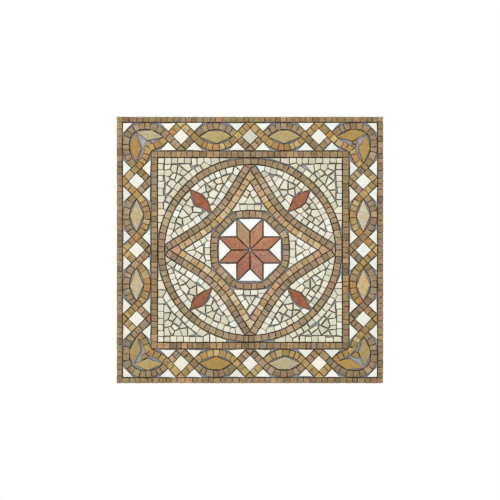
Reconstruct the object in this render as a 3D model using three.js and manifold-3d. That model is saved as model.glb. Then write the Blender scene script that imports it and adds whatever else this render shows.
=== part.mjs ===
// Square stone mosaic panel: travertine, marble and terracotta-red stones glued to a net.
// Millimetres. X runs to the right, Z up, and the stones face -Y.
// The origin is the centre of the flat back face of the net.

import * as THREE from 'three';
import { mergeVertices } from 'three/addons/utils/BufferGeometryUtils.js';
import Module from 'manifold-3d';

const wasm = await Module();
wasm.setup();

// Whole panel and its layers, from the back to the front
const panelSide = 660;
const netThickness = 1.2;
const bedThickness = 1.0;
const stoneThickness = 8.0;
const netMargin = 2.0;
const bedMargin = 1.0;
const bedGap = 0.3;

// Open joint between neighbouring stones, the V cut between two stones of a
// band, and the extra slack left around a stone cut by hand
const joint = 1.6;
const grooveDepth = 2.0;
const handCutSlack = 1.0;
const tileLength = 14.0;

// Straight bands that frame the braid
const outerFrameWidth = 13.2;
const innerFrameWidth = 14.4;

// Braid of two strands around the panel
const braidZoneWidth = 69.4;
const squaresPerSide = 3;
const strandWidth = 15.6;
const strandToFrameGap = 1.9;
const squareStoneSide = 27.0;
const cornerArcRadius = 37.0;
const webThickness = 1.0;
const webClearance = 0.3;

// Circle, four-pointed star and rounded ring in the middle field
const circleBandWidth = 15.0;
const starOverCircle = 17.6;
const starSideArcRadius = 250;
const starBandWidth = 15.2;
const starToRingGap = 2.7;
const ringWidth = 16.0;
const ringRoundness = 0.6;
const ringToTriangleGap = 2.8;

// Stones of the middle star and the red lozenges of the field
const starPoints = 8;
const starTipRadius = 84.5;
const lozengeHalfWidth = 14.5;
const lozengeShoulder = 8.5;
const lozengeSkew = 3.0;

// Steps of the curves
const lensArcSteps = 3;
const cornerArcSteps = 4;
const starArcSteps = 4;
const circleSteps = 72;

// Heights above the back face
const bedBottom = netThickness;
const stoneBottom = netThickness + bedThickness;
const stoneTop = stoneBottom + stoneThickness;
const cutterExcess = 1.0;

// Half sizes of the nested squares, measured from the centre
const panelHalf = panelSide / 2;
const braidOuterHalf = panelHalf - outerFrameWidth - joint;
const braidAxis = braidOuterHalf - braidZoneWidth / 2;
const braidInnerHalf = braidOuterHalf - braidZoneWidth;
const innerFrameHalf = braidInnerHalf - joint;
const fieldHalf = innerFrameHalf - innerFrameWidth - joint;

// The strands cross on the braid's axis, clear of the square stones, and swing
// out almost to the frames on both sides of the almonds
const lensRise = (braidZoneWidth - strandWidth) / 2 - strandToFrameGap;
const crossingReach = Math.SQRT2 * (squareStoneSide / 2 + joint + strandWidth / 2);
const squareSpacing = (braidAxis - lensRise) / (squaresPerSide / 2);
const lensHalfLength = squareSpacing / 2 - crossingReach;
const lensArcRadius = (lensHalfLength - lensRise) / (Math.SQRT2 - 1);
const wedgeApex = Math.SQRT2 * (strandWidth / 2 + joint);

const circleOuterRadius = fieldHalf - joint / 2;
const circleRadius = circleOuterRadius - circleBandWidth / 2;
const circleInnerRadius = circleOuterRadius - circleBandWidth;

// The ring goes round the middle star, the big star round the ring, and the
// big star's points run into the circle
const triangleBaseRadius = starTipRadius * Math.cos(Math.PI / starPoints);
const ringFlatRadius = triangleBaseRadius + ringToTriangleGap + ringWidth / 2;
const starBandsWidth = 2 * starBandWidth + joint;
const starWaistRadius = ringFlatRadius + ringWidth / 2 + starToRingGap + starBandsWidth;
const starApexRadius = circleInnerRadius + starOverCircle;
const starArcCentre = (starWaistRadius + starSideArcRadius) / Math.SQRT2;
const starHalfAngle = Math.atan2(starArcCentre, starApexRadius - starArcCentre)
  - Math.asin(starSideArcRadius / Math.hypot(starArcCentre, starApexRadius - starArcCentre));

const travertineBrown = { color: 0x8a7350, roughness: 0.72, metalness: 0 };
const travertineOchre = { color: 0xb59a52, roughness: 0.68, metalness: 0 };
const marbleWhite = { color: 0xf6f4ec, roughness: 0.5, metalness: 0 };
const marbleCream = { color: 0xd9d3bf, roughness: 0.62, metalness: 0 };
const marbleHoney = { color: 0xbfa65c, roughness: 0.58, metalness: 0 };
const marbleRed = { color: 0xa8563a, roughness: 0.58, metalness: 0 };
const netGrey = { color: 0xa9adb4, roughness: 0.9, metalness: 0 };

// A closed geometry as a solid, and a solid as a geometry

function solidOf(geometry) {
  geometry.deleteAttribute('normal');
  geometry.deleteAttribute('uv');
  const welded = mergeVertices(geometry, 1e-4);
  return new wasm.Manifold(new wasm.Mesh({
    numProp: 3,
    vertProperties: new Float32Array(welded.attributes.position.array),
    triVerts: new Uint32Array(welded.index.array),
  }));
}

function geometryOf(solid) {
  const { vertProperties, triVerts } = solid.getMesh();
  const geometry = new THREE.BufferGeometry();
  geometry.setAttribute('position', new THREE.Float32BufferAttribute(vertProperties, 3));
  geometry.setIndex(new THREE.BufferAttribute(triVerts, 1));
  geometry.computeVertexNormals();
  return geometry;
}

// Plan shapes lie in X and Y with their height along Z. Standing the panel up
// sends plan Y to Z, and height towards -Y, by whole numbers only.
const upright = new THREE.Matrix4().set(1, 0, 0, 0, 0, 0, -1, 0, 0, 1, 0, 0, 0, 0, 0, 1);

const point = (x, y) => new THREE.Vector2(x, y);
const turned = (p, angle) => p.clone().rotateAround(point(0, 0), angle);
const quarterTurn = (p) => point(p.y, -p.x);

// Clockwise points of one quarter, repeated into an anticlockwise outline
function repeatedByQuarters(points) {
  const all = [];
  let quarter = points;
  for (let k = 0; k < 4; k += 1) {
    all.push(...quarter);
    quarter = quarter.map(quarterTurn);
  }
  return all.reverse();
}

function slab(outline, from, to, hole) {
  const shape = new THREE.Shape(outline);
  if (hole) shape.holes.push(new THREE.Path(hole));
  const geometry = new THREE.ExtrudeGeometry(shape, { depth: to - from, bevelEnabled: false });
  return geometry.translate(0, 0, from);
}

const squareOutline = (half) => [
  point(-half, -half), point(half, -half), point(half, half), point(-half, half),
];

// Moves every edge of a closed outline outwards by a distance, with mitred corners
function widened(path, distance) {
  const side = THREE.ShapeUtils.area(path) > 0 ? 1 : -1;
  return path.map((current, i) => {
    const before = path[(i + path.length - 1) % path.length];
    const after = path[(i + 1) % path.length];
    const inwardRun = current.clone().sub(before).normalize();
    const outwardRun = after.clone().sub(current).normalize();
    const normals = [inwardRun, outwardRun].map((run) => point(run.y * side, -run.x * side));
    const bisector = normals[0].clone().add(normals[1]).normalize();
    return current.clone().addScaledVector(bisector, distance / bisector.dot(normals[0]));
  });
}

function ribbon(path, width, from, to) {
  return slab(widened(path, width / 2), from, to, widened(path, -width / 2));
}

// Shapes at the stones' full height
const stoneOf = (outline) => slab(outline, stoneBottom, stoneTop);
const stoneRibbon = (path, width) => ribbon(path, width, stoneBottom, stoneTop);

// A V-shaped cut across a band, at a place on it and along its direction
function grooveCutter(place, direction, bandWidth) {
  const rise = cutterExcess / 2;
  const halfTop = (joint / 2) * (1 + rise / grooveDepth);
  const length = bandWidth + joint;
  const section = new THREE.Shape([point(-halfTop, rise), point(0, -grooveDepth), point(halfTop, rise)]);
  const geometry = new THREE.ExtrudeGeometry(section, { depth: length, bevelEnabled: false });
  const run = new THREE.Vector3(direction.x, direction.y, 0);
  const across = new THREE.Vector3(direction.y, -direction.x, 0);
  const basis = new THREE.Matrix4().makeBasis(run, new THREE.Vector3(0, 0, 1), across);
  basis.setPosition(place.x - across.x * length / 2, place.y - across.y * length / 2, stoneTop);
  return solidOf(geometry.applyMatrix4(basis));
}

// Square band around the panel, jointed crosswise into stones
function frameBand(outerHalf, width) {
  const middle = outerHalf - width / 2;
  const band = solidOf(stoneRibbon(squareOutline(middle), width));
  const count = Math.round(2 * outerHalf / (tileLength + joint));
  const pitch = 2 * outerHalf / count;
  const cutters = [];
  for (let side = 0; side < 4; side += 1) {
    for (let i = 1; i < count; i += 1) {
      const along = -outerHalf + i * pitch;
      const clearOfCorner = Math.abs(along) < outerHalf - width - joint;
      const place = turned(point(along, middle), side * Math.PI / 2);
      const direction = turned(point(1, 0), side * Math.PI / 2);
      if (clearOfCorner) cutters.push(grooveCutter(place, direction, width));
    }
  }
  return wasm.Manifold.difference([band, ...cutters]);
}

// Ring of stones, with one stone from each point of its path to the next
function jointedRing(path, width) {
  const band = solidOf(stoneRibbon(path, width));
  const cutters = path.map((place, i) => {
    const before = path[(i + path.length - 1) % path.length];
    const after = path[(i + 1) % path.length];
    return grooveCutter(place, after.clone().sub(before).normalize(), width);
  });
  return wasm.Manifold.difference([band, ...cutters]);
}

function roundPath(radiusAt, steps) {
  const path = [];
  for (let i = 0; i < steps; i += 1) {
    const angle = 2 * Math.PI * i / steps;
    path.push(turned(point(radiusAt(angle), 0), angle));
  }
  return path;
}

// Rounded octagon with a flat side on each axis and diagonal
function ringRadiusAt(angle) {
  const step = Math.PI / 4;
  const fromFlat = angle - step * Math.round(angle / step);
  return ringFlatRadius / Math.cos(fromFlat) ** ringRoundness;
}

const ringStones = 8 * Math.round(2 * Math.PI * ringFlatRadius / (tileLength + joint) / 8);
const circlePath = roundPath(() => circleRadius, circleSteps);
const ringPath = roundPath(ringRadiusAt, ringStones);

// Four-pointed star with hollow sides, moved inwards by an inset
function starPath(inset) {
  const halfTurn = Math.PI / 4 - starHalfAngle;
  const centre = point(starArcCentre, starArcCentre);
  const quarter = [point(0, starApexRadius - inset / Math.sin(starHalfAngle))];
  for (let i = 0; i <= starArcSteps; i += 1) {
    const angle = Math.PI * 1.25 - halfTurn * (1 - 2 * i / starArcSteps);
    quarter.push(turned(point(starSideArcRadius + inset, 0), angle).add(centre));
  }
  return repeatedByQuarters(quarter);
}

function starBand(inset) {
  const band = solidOf(stoneRibbon(starPath(inset + starBandWidth / 2), starBandWidth));
  const innerEdge = widened(circlePath, -circleBandWidth / 2 - joint);
  const clip = solidOf(slab(innerEdge, stoneBottom - cutterExcess, stoneTop + cutterExcess));
  return band.intersect(clip);
}

// Path of a strand around the panel. outward is 1 for the strand that passes
// outside the square stones and inside the almonds, and -1 for the other one.
function strandPath(outward) {
  const arc = (angle) => point(
    lensArcRadius * Math.sin(angle),
    lensRise - lensArcRadius * (1 - Math.cos(angle)),
  );
  const halfSide = [];
  for (let k = 0; k < squaresPerSide / 2; k += 1) {
    const square = k * squareSpacing;
    const lens = square + squareSpacing / 2;
    halfSide.push(point(square, braidAxis + outward * crossingReach));
    for (let i = lensArcSteps; i >= 0; i -= 1) {
      const p = arc(i / lensArcSteps * Math.PI / 4);
      halfSide.push(point(lens - p.x, braidAxis - outward * p.y));
    }
    const lastLens = k + 1 > (squaresPerSide - 1) / 2;
    for (let i = 1; i <= lensArcSteps && !lastLens; i += 1) {
      const p = arc(i / lensArcSteps * Math.PI / 4);
      halfSide.push(point(lens + p.x, braidAxis - outward * p.y));
    }
  }
  if (outward < 0) halfSide.push(...cornerArc());
  const mirrored = halfSide.slice(1).reverse().map((p) => point(-p.x, p.y));
  return repeatedByQuarters([...mirrored, ...halfSide].filter(notOnDiagonal));
}

// Both halves of a side end on the diagonals, where a point is kept once
function notOnDiagonal(p) {
  return p.x > 0 || Math.abs(p.x + p.y) > 0.01;
}

// First half of the quarter arc with which the outer strand rounds the corner
function cornerArc() {
  const centre = braidAxis + lensRise - cornerArcRadius;
  const points = [];
  for (let i = 0; i <= cornerArcSteps / 2; i += 1) {
    const angle = Math.PI / 2 * (1 - i / cornerArcSteps);
    points.push(turned(point(cornerArcRadius, 0), angle).add(point(centre, centre)));
  }
  return points;
}

// Every crossing, left or right of its square stone by its hand of -1 or 1,
// with the strand on top: the two strands take turns
function crossings() {
  const found = [];
  for (let side = 0; side < 4; side += 1) {
    const turn = -side * Math.PI / 2;
    for (let k = 0; k < squaresPerSide; k += 1) {
      for (const hand of [-1, 1]) {
        const along = (k - (squaresPerSide - 1) / 2) * squareSpacing + hand * crossingReach;
        const place = turned(point(along, braidAxis), turn);
        found.push({ place, turn, hand, top: hand < 0 ? 'brown' : 'ochre' });
      }
    }
  }
  return found;
}

function block(place, slope, along, across, from, to) {
  const outline = [point(-along, -across), point(along, -across), point(along, across), point(-along, across)];
  return solidOf(slab(outline.map((p) => turned(p, slope).add(place)), from, to));
}

// One strand as a closed loop. Under the other strand only a thin web is left
// of it, and above the other strand's web it has a shallow notch.
function strand(name, outward) {
  const loop = solidOf(stoneRibbon(strandPath(outward), strandWidth));
  const below = stoneBottom - cutterExcess;
  const above = stoneTop + cutterExcess;
  const zone = solidOf(slab(squareOutline(braidOuterHalf), below, above, squareOutline(braidInnerHalf)));
  const webTop = stoneBottom + webThickness;
  const across = strandWidth / 2 + joint / 2;
  const cutters = crossings().map(({ place, turn, hand, top }) => {
    const slope = turn - hand * outward * Math.PI / 4;
    return top === name
      ? block(place, slope, strandWidth / 2 + webClearance, across, below, webTop + webClearance)
      : block(place, slope, strandWidth / 2 + joint, across, webTop, above);
  });
  return wasm.Manifold.difference([loop.intersect(zone), ...cutters]);
}

// White wedges on both sides of every crossing, and one in every corner,
// standing on the adhesive bed of the border
function borderGround() {
  const bedHalf = panelHalf - bedMargin;
  const bedInner = fieldHalf + joint / 2 + bedGap / 2;
  const parts = [solidOf(slab(squareOutline(bedHalf), bedBottom, stoneBottom, squareOutline(bedInner)))];
  const height = braidZoneWidth / 2 - wedgeApex - joint / 2;
  const wedge = [point(0, wedgeApex), point(height, wedgeApex + height), point(-height, wedgeApex + height)];
  for (const { place, turn } of crossings()) {
    for (const way of [turn, turn + Math.PI]) {
      parts.push(solidOf(slab(wedge.map((p) => turned(p, way).add(place)), bedBottom, stoneTop)));
    }
  }
  for (let side = 0; side < 4; side += 1) {
    parts.push(solidOf(slab(cornerWedge().map((p) => turned(p, side * Math.PI / 2)), bedBottom, stoneTop)));
  }
  return wasm.Manifold.union(parts);
}

function cornerWedge() {
  const corner = braidOuterHalf - joint / 2;
  const arcCentre = braidAxis + lensRise - cornerArcRadius;
  const clear = (corner - arcCentre) * Math.SQRT2 - cornerArcRadius - strandWidth / 2 - joint;
  const leg = clear * Math.SQRT2;
  return [point(corner, corner), point(corner - leg, corner), point(corner, corner - leg)];
}

// Cream ground of the field: its areas stand on one adhesive bed
function creamGround() {
  const ground = solidOf(slab(squareOutline(fieldHalf), stoneBottom - bedThickness / 2, stoneTop));
  const bedHalf = fieldHalf + joint / 2 - bedGap / 2;
  const bed = solidOf(slab(squareOutline(bedHalf), bedBottom, stoneBottom));
  const low = stoneBottom;
  const high = stoneTop + cutterExcess;
  const cutters = [
    ribbon(circlePath, circleBandWidth + 2 * joint, low, high),
    ribbon(starPath(starBandsWidth / 2), starBandsWidth + 2 * joint, low, high),
    slab(widened(ringPath, ringWidth / 2 + joint), low, high),
  ];
  for (let k = 0; k < 4; k += 1) {
    const outline = fieldLozenge().map((p) => turned(p, Math.PI / 4 + k * Math.PI / 2));
    cutters.push(slab(widened(outline, joint), low, high));
  }
  return wasm.Manifold.difference([ground, ...cutters.map(solidOf)]).add(bed);
}

// Red lozenge between the circle and the star's waist, along X
function fieldLozenge() {
  const far = circleInnerRadius - joint - handCutSlack;
  const near = starWaistRadius + joint;
  const middle = (far + near) / 2;
  return [
    point(far, 0),
    point(middle + lozengeShoulder, lozengeHalfWidth - lozengeSkew),
    point(middle - lozengeShoulder, lozengeHalfWidth - lozengeSkew),
    point(near, 0),
    point(middle, -lozengeHalfWidth - lozengeSkew),
  ];
}

// Almond in the lens between two crossings: blunt outside, pointed inside
function almond() {
  const tip = squareSpacing / 2 - crossingReach - wedgeApex - handCutSlack;
  const shoulder = tip / 3;
  const edgeRadius = lensArcRadius - strandWidth / 2 - joint - handCutSlack;
  const edgeAt = (x) => lensRise - lensArcRadius + Math.sqrt(edgeRadius ** 2 - x ** 2);
  return [
    point(tip, 0), point(shoulder, edgeAt(shoulder)), point(-shoulder, edgeAt(shoulder)),
    point(-tip, 0), point(0, -edgeAt(0)),
  ];
}

// Almond beside a corner, on the top side: its outer tip meets the next one's
// inside the arc of the outer strand
function cornerAlmond(hand) {
  const lastSquare = (squaresPerSide - 1) / 2 * squareSpacing;
  const nearTip = lastSquare + crossingReach + wedgeApex + handCutSlack;
  const lensMiddle = lastSquare + squareSpacing / 2;
  const [, , outerShoulder, , innerPoint] = almond();
  const arcCentre = braidAxis + lensRise - cornerArcRadius;
  const tipRadius = cornerArcRadius - strandWidth / 2 - joint - handCutSlack;
  const spread = joint / tipRadius;
  const tip = turned(point(tipRadius, 0), Math.PI / 4 + spread).add(point(arcCentre, arcCentre));
  return [
    point(nearTip, braidAxis),
    point(lensMiddle + outerShoulder.x, braidAxis + outerShoulder.y),
    point(lensMiddle, braidAxis + outerShoulder.y),
    tip,
    point(lensMiddle, braidAxis + innerPoint.y + joint),
  ].map((p) => point(hand * p.x, p.y));
}

// Stones of the eight-pointed star and the white stones between its points
function starLozenge() {
  const halfAngle = Math.PI / starPoints;
  const side = starTipRadius / (2 * Math.cos(halfAngle));
  const outline = [
    point(0, 0), turned(point(side, 0), -halfAngle), point(starTipRadius, 0), turned(point(side, 0), halfAngle),
  ];
  return widened(outline, -joint / 2);
}

function starTriangle() {
  const halfAngle = Math.PI / starPoints;
  const notch = starTipRadius / (2 * Math.cos(halfAngle));
  const halfBase = starTipRadius * Math.sin(halfAngle);
  const outline = [
    point(notch, 0), point(triangleBaseRadius, -halfBase), point(triangleBaseRadius, halfBase),
  ];
  return widened(outline, -joint / 2);
}

// Named meshes

const panel = new THREE.Group();

function addStone(parent, name, geometry, look) {
  const mesh = new THREE.Mesh(geometry.applyMatrix4(upright), new THREE.MeshStandardMaterial(look));
  mesh.name = name;
  parent.add(mesh);
  return mesh;
}

addStone(panel, 'mesh_backing', slab(squareOutline(panelHalf - netMargin), 0, netThickness), netGrey);
addStone(panel, 'border_wedges', geometryOf(borderGround()), marbleWhite);
addStone(panel, 'cream_ground', geometryOf(creamGround()), marbleCream);
addStone(panel, 'outer_frame', geometryOf(frameBand(panelHalf, outerFrameWidth)), travertineBrown);
addStone(panel, 'inner_frame', geometryOf(frameBand(innerFrameHalf, innerFrameWidth)), travertineBrown);
addStone(panel, 'circle_band', stoneRibbon(circlePath, circleBandWidth), travertineBrown);
addStone(panel, 'star_outer_band', geometryOf(starBand(0)), travertineBrown);
addStone(panel, 'star_inner_band', geometryOf(starBand(starBandWidth + joint)), travertineOchre);
addStone(panel, 'ring_band', geometryOf(jointedRing(ringPath, ringWidth)), travertineBrown);
addStone(panel, 'strand_ochre', geometryOf(strand('ochre', 1)), travertineOchre);
addStone(panel, 'strand_brown', geometryOf(strand('brown', -1)), travertineBrown);

// Each side of the border is one turned group
['top', 'right', 'bottom', 'left'].forEach((sideName, side) => {
  const group = new THREE.Group();
  group.rotation.y = side * Math.PI / 2;
  for (let k = 0; k < squaresPerSide; k += 1) {
    const half = squareStoneSide / 2;
    const diamond = squareOutline(half).map((p) => turned(p, Math.PI / 4));
    const square = addStone(group, `white_square_${sideName}_${k + 1}`, stoneOf(diamond), marbleWhite);
    square.position.set((k - (squaresPerSide - 1) / 2) * squareSpacing, 0, braidAxis);
  }
  for (let k = 0; k < squaresPerSide - 1; k += 1) {
    const stone = addStone(group, `almond_${sideName}_${k + 1}`, stoneOf(almond()), marbleHoney);
    stone.position.set((k - squaresPerSide / 2 + 1) * squareSpacing, 0, braidAxis);
  }
  addStone(group, `almond_${sideName}_corner_left`, stoneOf(cornerAlmond(-1)), marbleHoney);
  addStone(group, `almond_${sideName}_corner_right`, stoneOf(cornerAlmond(1)), marbleHoney);
  const diagonal = new THREE.Group();
  diagonal.rotation.y = -Math.PI / 4;
  addStone(diagonal, `field_lozenge_${side + 1}`, stoneOf(fieldLozenge()), marbleRed);
  group.add(diagonal);
  panel.add(group);
});

for (let k = 0; k < starPoints; k += 1) {
  const step = 2 * Math.PI / starPoints;
  const lozenge = addStone(panel, `star_lozenge_${k + 1}`, stoneOf(starLozenge()), marbleRed);
  lozenge.rotation.y = (k + 0.5) * step;
  const triangle = addStone(panel, `star_triangle_${k + 1}`, stoneOf(starTriangle()), marbleWhite);
  triangle.rotation.y = k * step;
}

export default panel;
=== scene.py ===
import cmath
import math
import random
from collections import namedtuple

import bpy
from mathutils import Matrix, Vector, noise


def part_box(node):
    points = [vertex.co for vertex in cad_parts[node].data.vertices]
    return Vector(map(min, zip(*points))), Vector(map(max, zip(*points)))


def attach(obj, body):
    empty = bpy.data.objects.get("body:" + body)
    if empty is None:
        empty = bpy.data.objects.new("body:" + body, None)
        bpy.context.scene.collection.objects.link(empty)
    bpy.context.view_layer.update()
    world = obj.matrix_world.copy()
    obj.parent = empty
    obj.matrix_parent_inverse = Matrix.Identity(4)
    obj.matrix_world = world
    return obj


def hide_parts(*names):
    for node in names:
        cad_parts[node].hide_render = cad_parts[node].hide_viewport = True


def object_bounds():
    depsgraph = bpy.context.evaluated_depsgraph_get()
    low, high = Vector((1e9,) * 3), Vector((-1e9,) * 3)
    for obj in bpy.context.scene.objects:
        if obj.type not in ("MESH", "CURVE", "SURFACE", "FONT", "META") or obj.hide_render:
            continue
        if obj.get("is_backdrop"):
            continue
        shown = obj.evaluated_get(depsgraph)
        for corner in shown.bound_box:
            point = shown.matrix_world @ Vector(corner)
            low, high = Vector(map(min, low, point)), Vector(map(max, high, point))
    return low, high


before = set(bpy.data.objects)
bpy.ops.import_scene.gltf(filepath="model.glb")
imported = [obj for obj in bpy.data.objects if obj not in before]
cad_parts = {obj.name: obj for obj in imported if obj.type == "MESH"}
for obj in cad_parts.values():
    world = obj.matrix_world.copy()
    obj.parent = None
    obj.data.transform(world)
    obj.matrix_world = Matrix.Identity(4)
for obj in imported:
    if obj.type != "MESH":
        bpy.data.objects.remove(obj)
cad_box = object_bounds()

# Plan points are complex numbers in millimetres, right + up * 1j, seen from the
# panel's front. Depths are millimetres in front of the back face. Blender's own
# units are metres.
MM = 0.001
ROOT_2 = math.sqrt(2)


def half_width(node):
    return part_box(node)[1][0] / MM


# Sizes read from the frame
PANEL_HALF = half_width("outer_frame")
INNER_FRAME_HALF = half_width("inner_frame")
CIRCLE_OUTER = half_width("circle_band")
RING_OUTER = half_width("ring_band")
NET_HALF = half_width("mesh_backing")
STONE_TOP = -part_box("outer_frame")[0][1] / MM
NET_TOP = -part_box("mesh_backing")[0][1] / MM

# Net and adhesive
NET_PITCH = 5.0
NET_SWAY = 0.5
NET_MIDDLE = NET_TOP - 0.1
BED_BOTTOM = NET_TOP - 0.5
BED_TOP = NET_TOP + 0.3
STONE_FOOT = BED_TOP - 0.3
FILLET_TOP = BED_TOP + 1.3
# How far the adhesive and stone dust at a stone's foot reach out
NARROW_FILLET = 1.15
MIDDLING_FILLET = 1.6
WIDE_FILLET = 2.1
BED_HALF = PANEL_HALF - 1.0
NET_MARGIN = 1.0
ADHESIVE_MARGIN = 1.6
ADHESIVE_STEPS = 150

# Floor, light and camera, in Blender's own units
FLOOR_HALF = 6.0
FLOOR_LEVEL = -1.6
KEY_LIGHT_PLACE = (-1.3, -2.6, 1.5)
KEY_LIGHT_SIZE = 1.6
KEY_LIGHT_WATTS = 25.0
CAMERA_LENS = 120
CAMERA_DISTANCE = 4.133

# Widths of the bands and of the joints between stones
JOINT = 1.6
OUTER_FRAME_WIDTH = 13.2
INNER_FRAME_WIDTH = 14.4
STRAND_WIDTH = 15.6
CIRCLE_WIDTH = 15.0
STAR_BAND_WIDTH = 15.2
RING_WIDTH = 16.0
RING_LOW_WIDTH = 13.8
FRAME_PITCH = 15.4
FRAME_EDGE = 0.25
FRAME_CORNER_JOINT = 0.3
FRAME_SPARE = 0.7
BAND_PITCH = 16.0
STRAND_PITCH = 15.2

# Braid
BRAID_OUTER_HALF = PANEL_HALF - OUTER_FRAME_WIDTH - JOINT
BRAID_INNER_HALF = INNER_FRAME_HALF + JOINT
AXIS = (BRAID_OUTER_HALF + BRAID_INNER_HALF) / 2
ZONE_HALF = (BRAID_OUTER_HALF - BRAID_INNER_HALF) / 2
SQUARE_STONE_SIDE = 27.0
REACH = ROOT_2 * (SQUARE_STONE_SIDE / 2 + JOINT + STRAND_WIDTH / 2)
SPACING = (AXIS - ZONE_HALF + STRAND_WIDTH / 2 + 1.9) / 1.5
LENS_RISE = ZONE_HALF - STRAND_WIDTH / 2 - 0.5
LENS_ARC_RADIUS = (SPACING / 2 - REACH - LENS_RISE) / (ROOT_2 - 1)
WEDGE_APEX = ROOT_2 * (STRAND_WIDTH / 2 + JOINT)
CORNER_ARC_RADIUS = 42.0
CORNER_ARC_CENTRE = AXIS + LENS_RISE - CORNER_ARC_RADIUS
INNER_TURN_RADIUS = 12.0
CORNER_STEPS = 24
SIDES = ["top", "right", "bottom", "left"]
SQUARES = [-SPACING, 0.0, SPACING]

# Field
FIELD_HALF = INNER_FRAME_HALF - INNER_FRAME_WIDTH - JOINT
CIRCLE_INNER = CIRCLE_OUTER - CIRCLE_WIDTH
RING_ROUNDNESS = 0.6
STAR_SIDE_ARC = 250.0
STAR_APEX = CIRCLE_INNER + 17.6
STAR_WAIST = RING_OUTER + 2.7 + 2 * STAR_BAND_WIDTH + JOINT
STAR_ARC_CENTRE = (STAR_WAIST + STAR_SIDE_ARC) / ROOT_2
STAR_HALF_ANGLE = (math.atan2(STAR_ARC_CENTRE, STAR_APEX - STAR_ARC_CENTRE)
                   - math.asin(STAR_SIDE_ARC / math.hypot(STAR_ARC_CENTRE, STAR_APEX - STAR_ARC_CENTRE)))
STAR_SIN = math.sin(STAR_HALF_ANGLE)
STAR_TAN = math.tan(STAR_HALF_ANGLE)
MIDDLE_STAR_TIP = 84.5


# Plane geometry

def unit(z):
    return z / abs(z)


def dot(a, b):
    return a.real * b.real + a.imag * b.imag


def turn(angle):
    return cmath.rect(1, angle)


def sides_of(outline):
    return zip(outline, outline[1:] + outline[:1])


def area(outline):
    return sum(a.real * b.imag - a.imag * b.real for a, b in sides_of(outline)) / 2


def centre_of(outline):
    return sum(outline) / len(outline)


def clipped(outline, place, normal):
    """The part of an outline on the side of a line that its normal points to."""
    kept = []
    for a, b in sides_of(outline):
        height_a = dot(a - place, normal)
        height_b = dot(b - place, normal)
        if height_a >= 0:
            kept.append(a)
        if (height_a >= 0) != (height_b >= 0):
            kept.append(a + (b - a) * height_a / (height_a - height_b))
    return kept


def shrunk(outline, distance):
    """A convex anticlockwise outline with every edge moved inwards."""
    result = outline
    for a, b in sides_of(outline):
        if abs(b - a) > 0.01 and len(result) > 2:
            inwards = 1j * unit(b - a)
            result = clipped(result, a + inwards * distance, inwards)
    return result


class Track:
    """A smooth line given by close points, read by the distance along it."""

    def __init__(self, points):
        self.points = points
        self.marks = [0.0]
        for a, b in zip(points, points[1:]):
            self.marks.append(self.marks[-1] + abs(b - a))
        self.length = self.marks[-1]

    def at(self, distance):
        i = 0
        while i < len(self.marks) - 2 and self.marks[i + 1] < distance:
            i += 1
        run = self.points[i + 1] - self.points[i]
        along = (distance - self.marks[i]) / (self.marks[i + 1] - self.marks[i])
        return self.points[i] + run * along, unit(run)


# Colours of the stones, as sRGB hex, each followed by how often it is met

def linear(hex_colour):
    channels = [int(hex_colour[i:i + 2], 16) / 255 for i in (0, 2, 4)]
    return tuple(c / 12.92 if c <= 0.04045 else ((c + 0.055) / 1.055) ** 2.4 for c in channels)


PALETTES = {
    "brown": "8b744f 4 967e59 3 806946 3 917e59 2 9b7a54 2 8c7b52 2 a78a60 2 927254 1 8a7d64 1 786443 1",
    "dun": "978262 4 a18b6c 3 8b775a 3 9a886b 2 a1866c 2 948565 1 ad9979 2 857562 1 9b7b5f 1",
    "umber": "907a58 4 998666 3 847150 3 8e7f62 2 96805b 2 a68f6e 2 94755c 1 7d705a 1",
    "ochre": "a58b50 4 b0985e 3 948046 2 ab8d58 2 a67f48 2 9b7e50 2 b9a36f 2 a8804f 1 a87b42 1",
    "straw": "b29a6e 4 bea982 3 a58e63 3 b99a6c 2 b29070 2 cab893 2 ab8852 1 bd9c62 1 a28a5a 1",
    "cream": "d5d1bd 4 dcd9c7 4 ccc8b2 3 ded9ca 2 d4cdbc 2 c6c3ad 2 e2dfd3 1 d5cbbb 1",
    "dull cream": "d3d0ba 4 dad7c3 4 cbc8b1 3 dcd8c7 2 d4cdbc 2 c6c2ab 2",
    "pale cream": "e0decf 4 e4e2d8 3 d6d4c4 3 ddd4c8 1 e6e6de 2",
    "white": "e6e5da 3 e2e2d6 2 dfe2d9 1",
    "pure white": "f2f2ee 2 efefe8 1",
    "grey white": "cdcab9 1",
    "palest honey": "c0b79b 1",
    "pale honey": "aea480 1",
    "dusty honey": "b6a98a 1",
    "light honey": "b8a67a 1",
    "gold honey": "a99861 1",
    "orange honey": "a28444 1",
    "amber honey": "a47d3a 1",
    "brown honey": "9c8c58 1",
    "rust": "955534 2 905030 2 9b5c39 1",
    "red": "a6704f 3 ac7855 2 9f684b 2",
    "dark red": "965f46 1",
    "tan red": "ab8860 1",
    "pink red": "a06e5c 1",
}


def stone_colour(palette, rng, spread=0.07):
    entries = PALETTES[palette].split()
    weights = map(int, entries[1::2])
    red, green, blue = linear(rng.choices(entries[::2], list(weights))[0])
    light = 1 + rng.uniform(-spread, spread)
    warm = rng.uniform(-0.03, 0.03)
    return (red * light * (1 + warm), green * light, blue * light * (1 - warm), 1.0)


# Meshes and pieces

def ring_quads(first, around, rings):
    """Faces between rings of points that lie one after the other."""
    quads = []
    for r in range(rings - 1):
        low = first + r * around
        for k in range(around):
            after = (k + 1) % around
            quads.append((low + k, low + after, low + around + after, low + around + k))
    return quads


def new_mesh(name, verts, faces):
    mesh = bpy.data.meshes.new(name)
    mesh.from_pydata(verts, [], faces)
    return mesh


def new_object(name, data):
    thing = bpy.data.objects.new(name, data)
    bpy.context.scene.collection.objects.link(thing)
    return thing


def add_piece(name, mesh, material, nodes):
    piece = new_object(name, mesh)
    mesh.materials.append(materials[material])
    mesh.update()
    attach(piece, "root")
    if nodes:
        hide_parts(*nodes)


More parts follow.
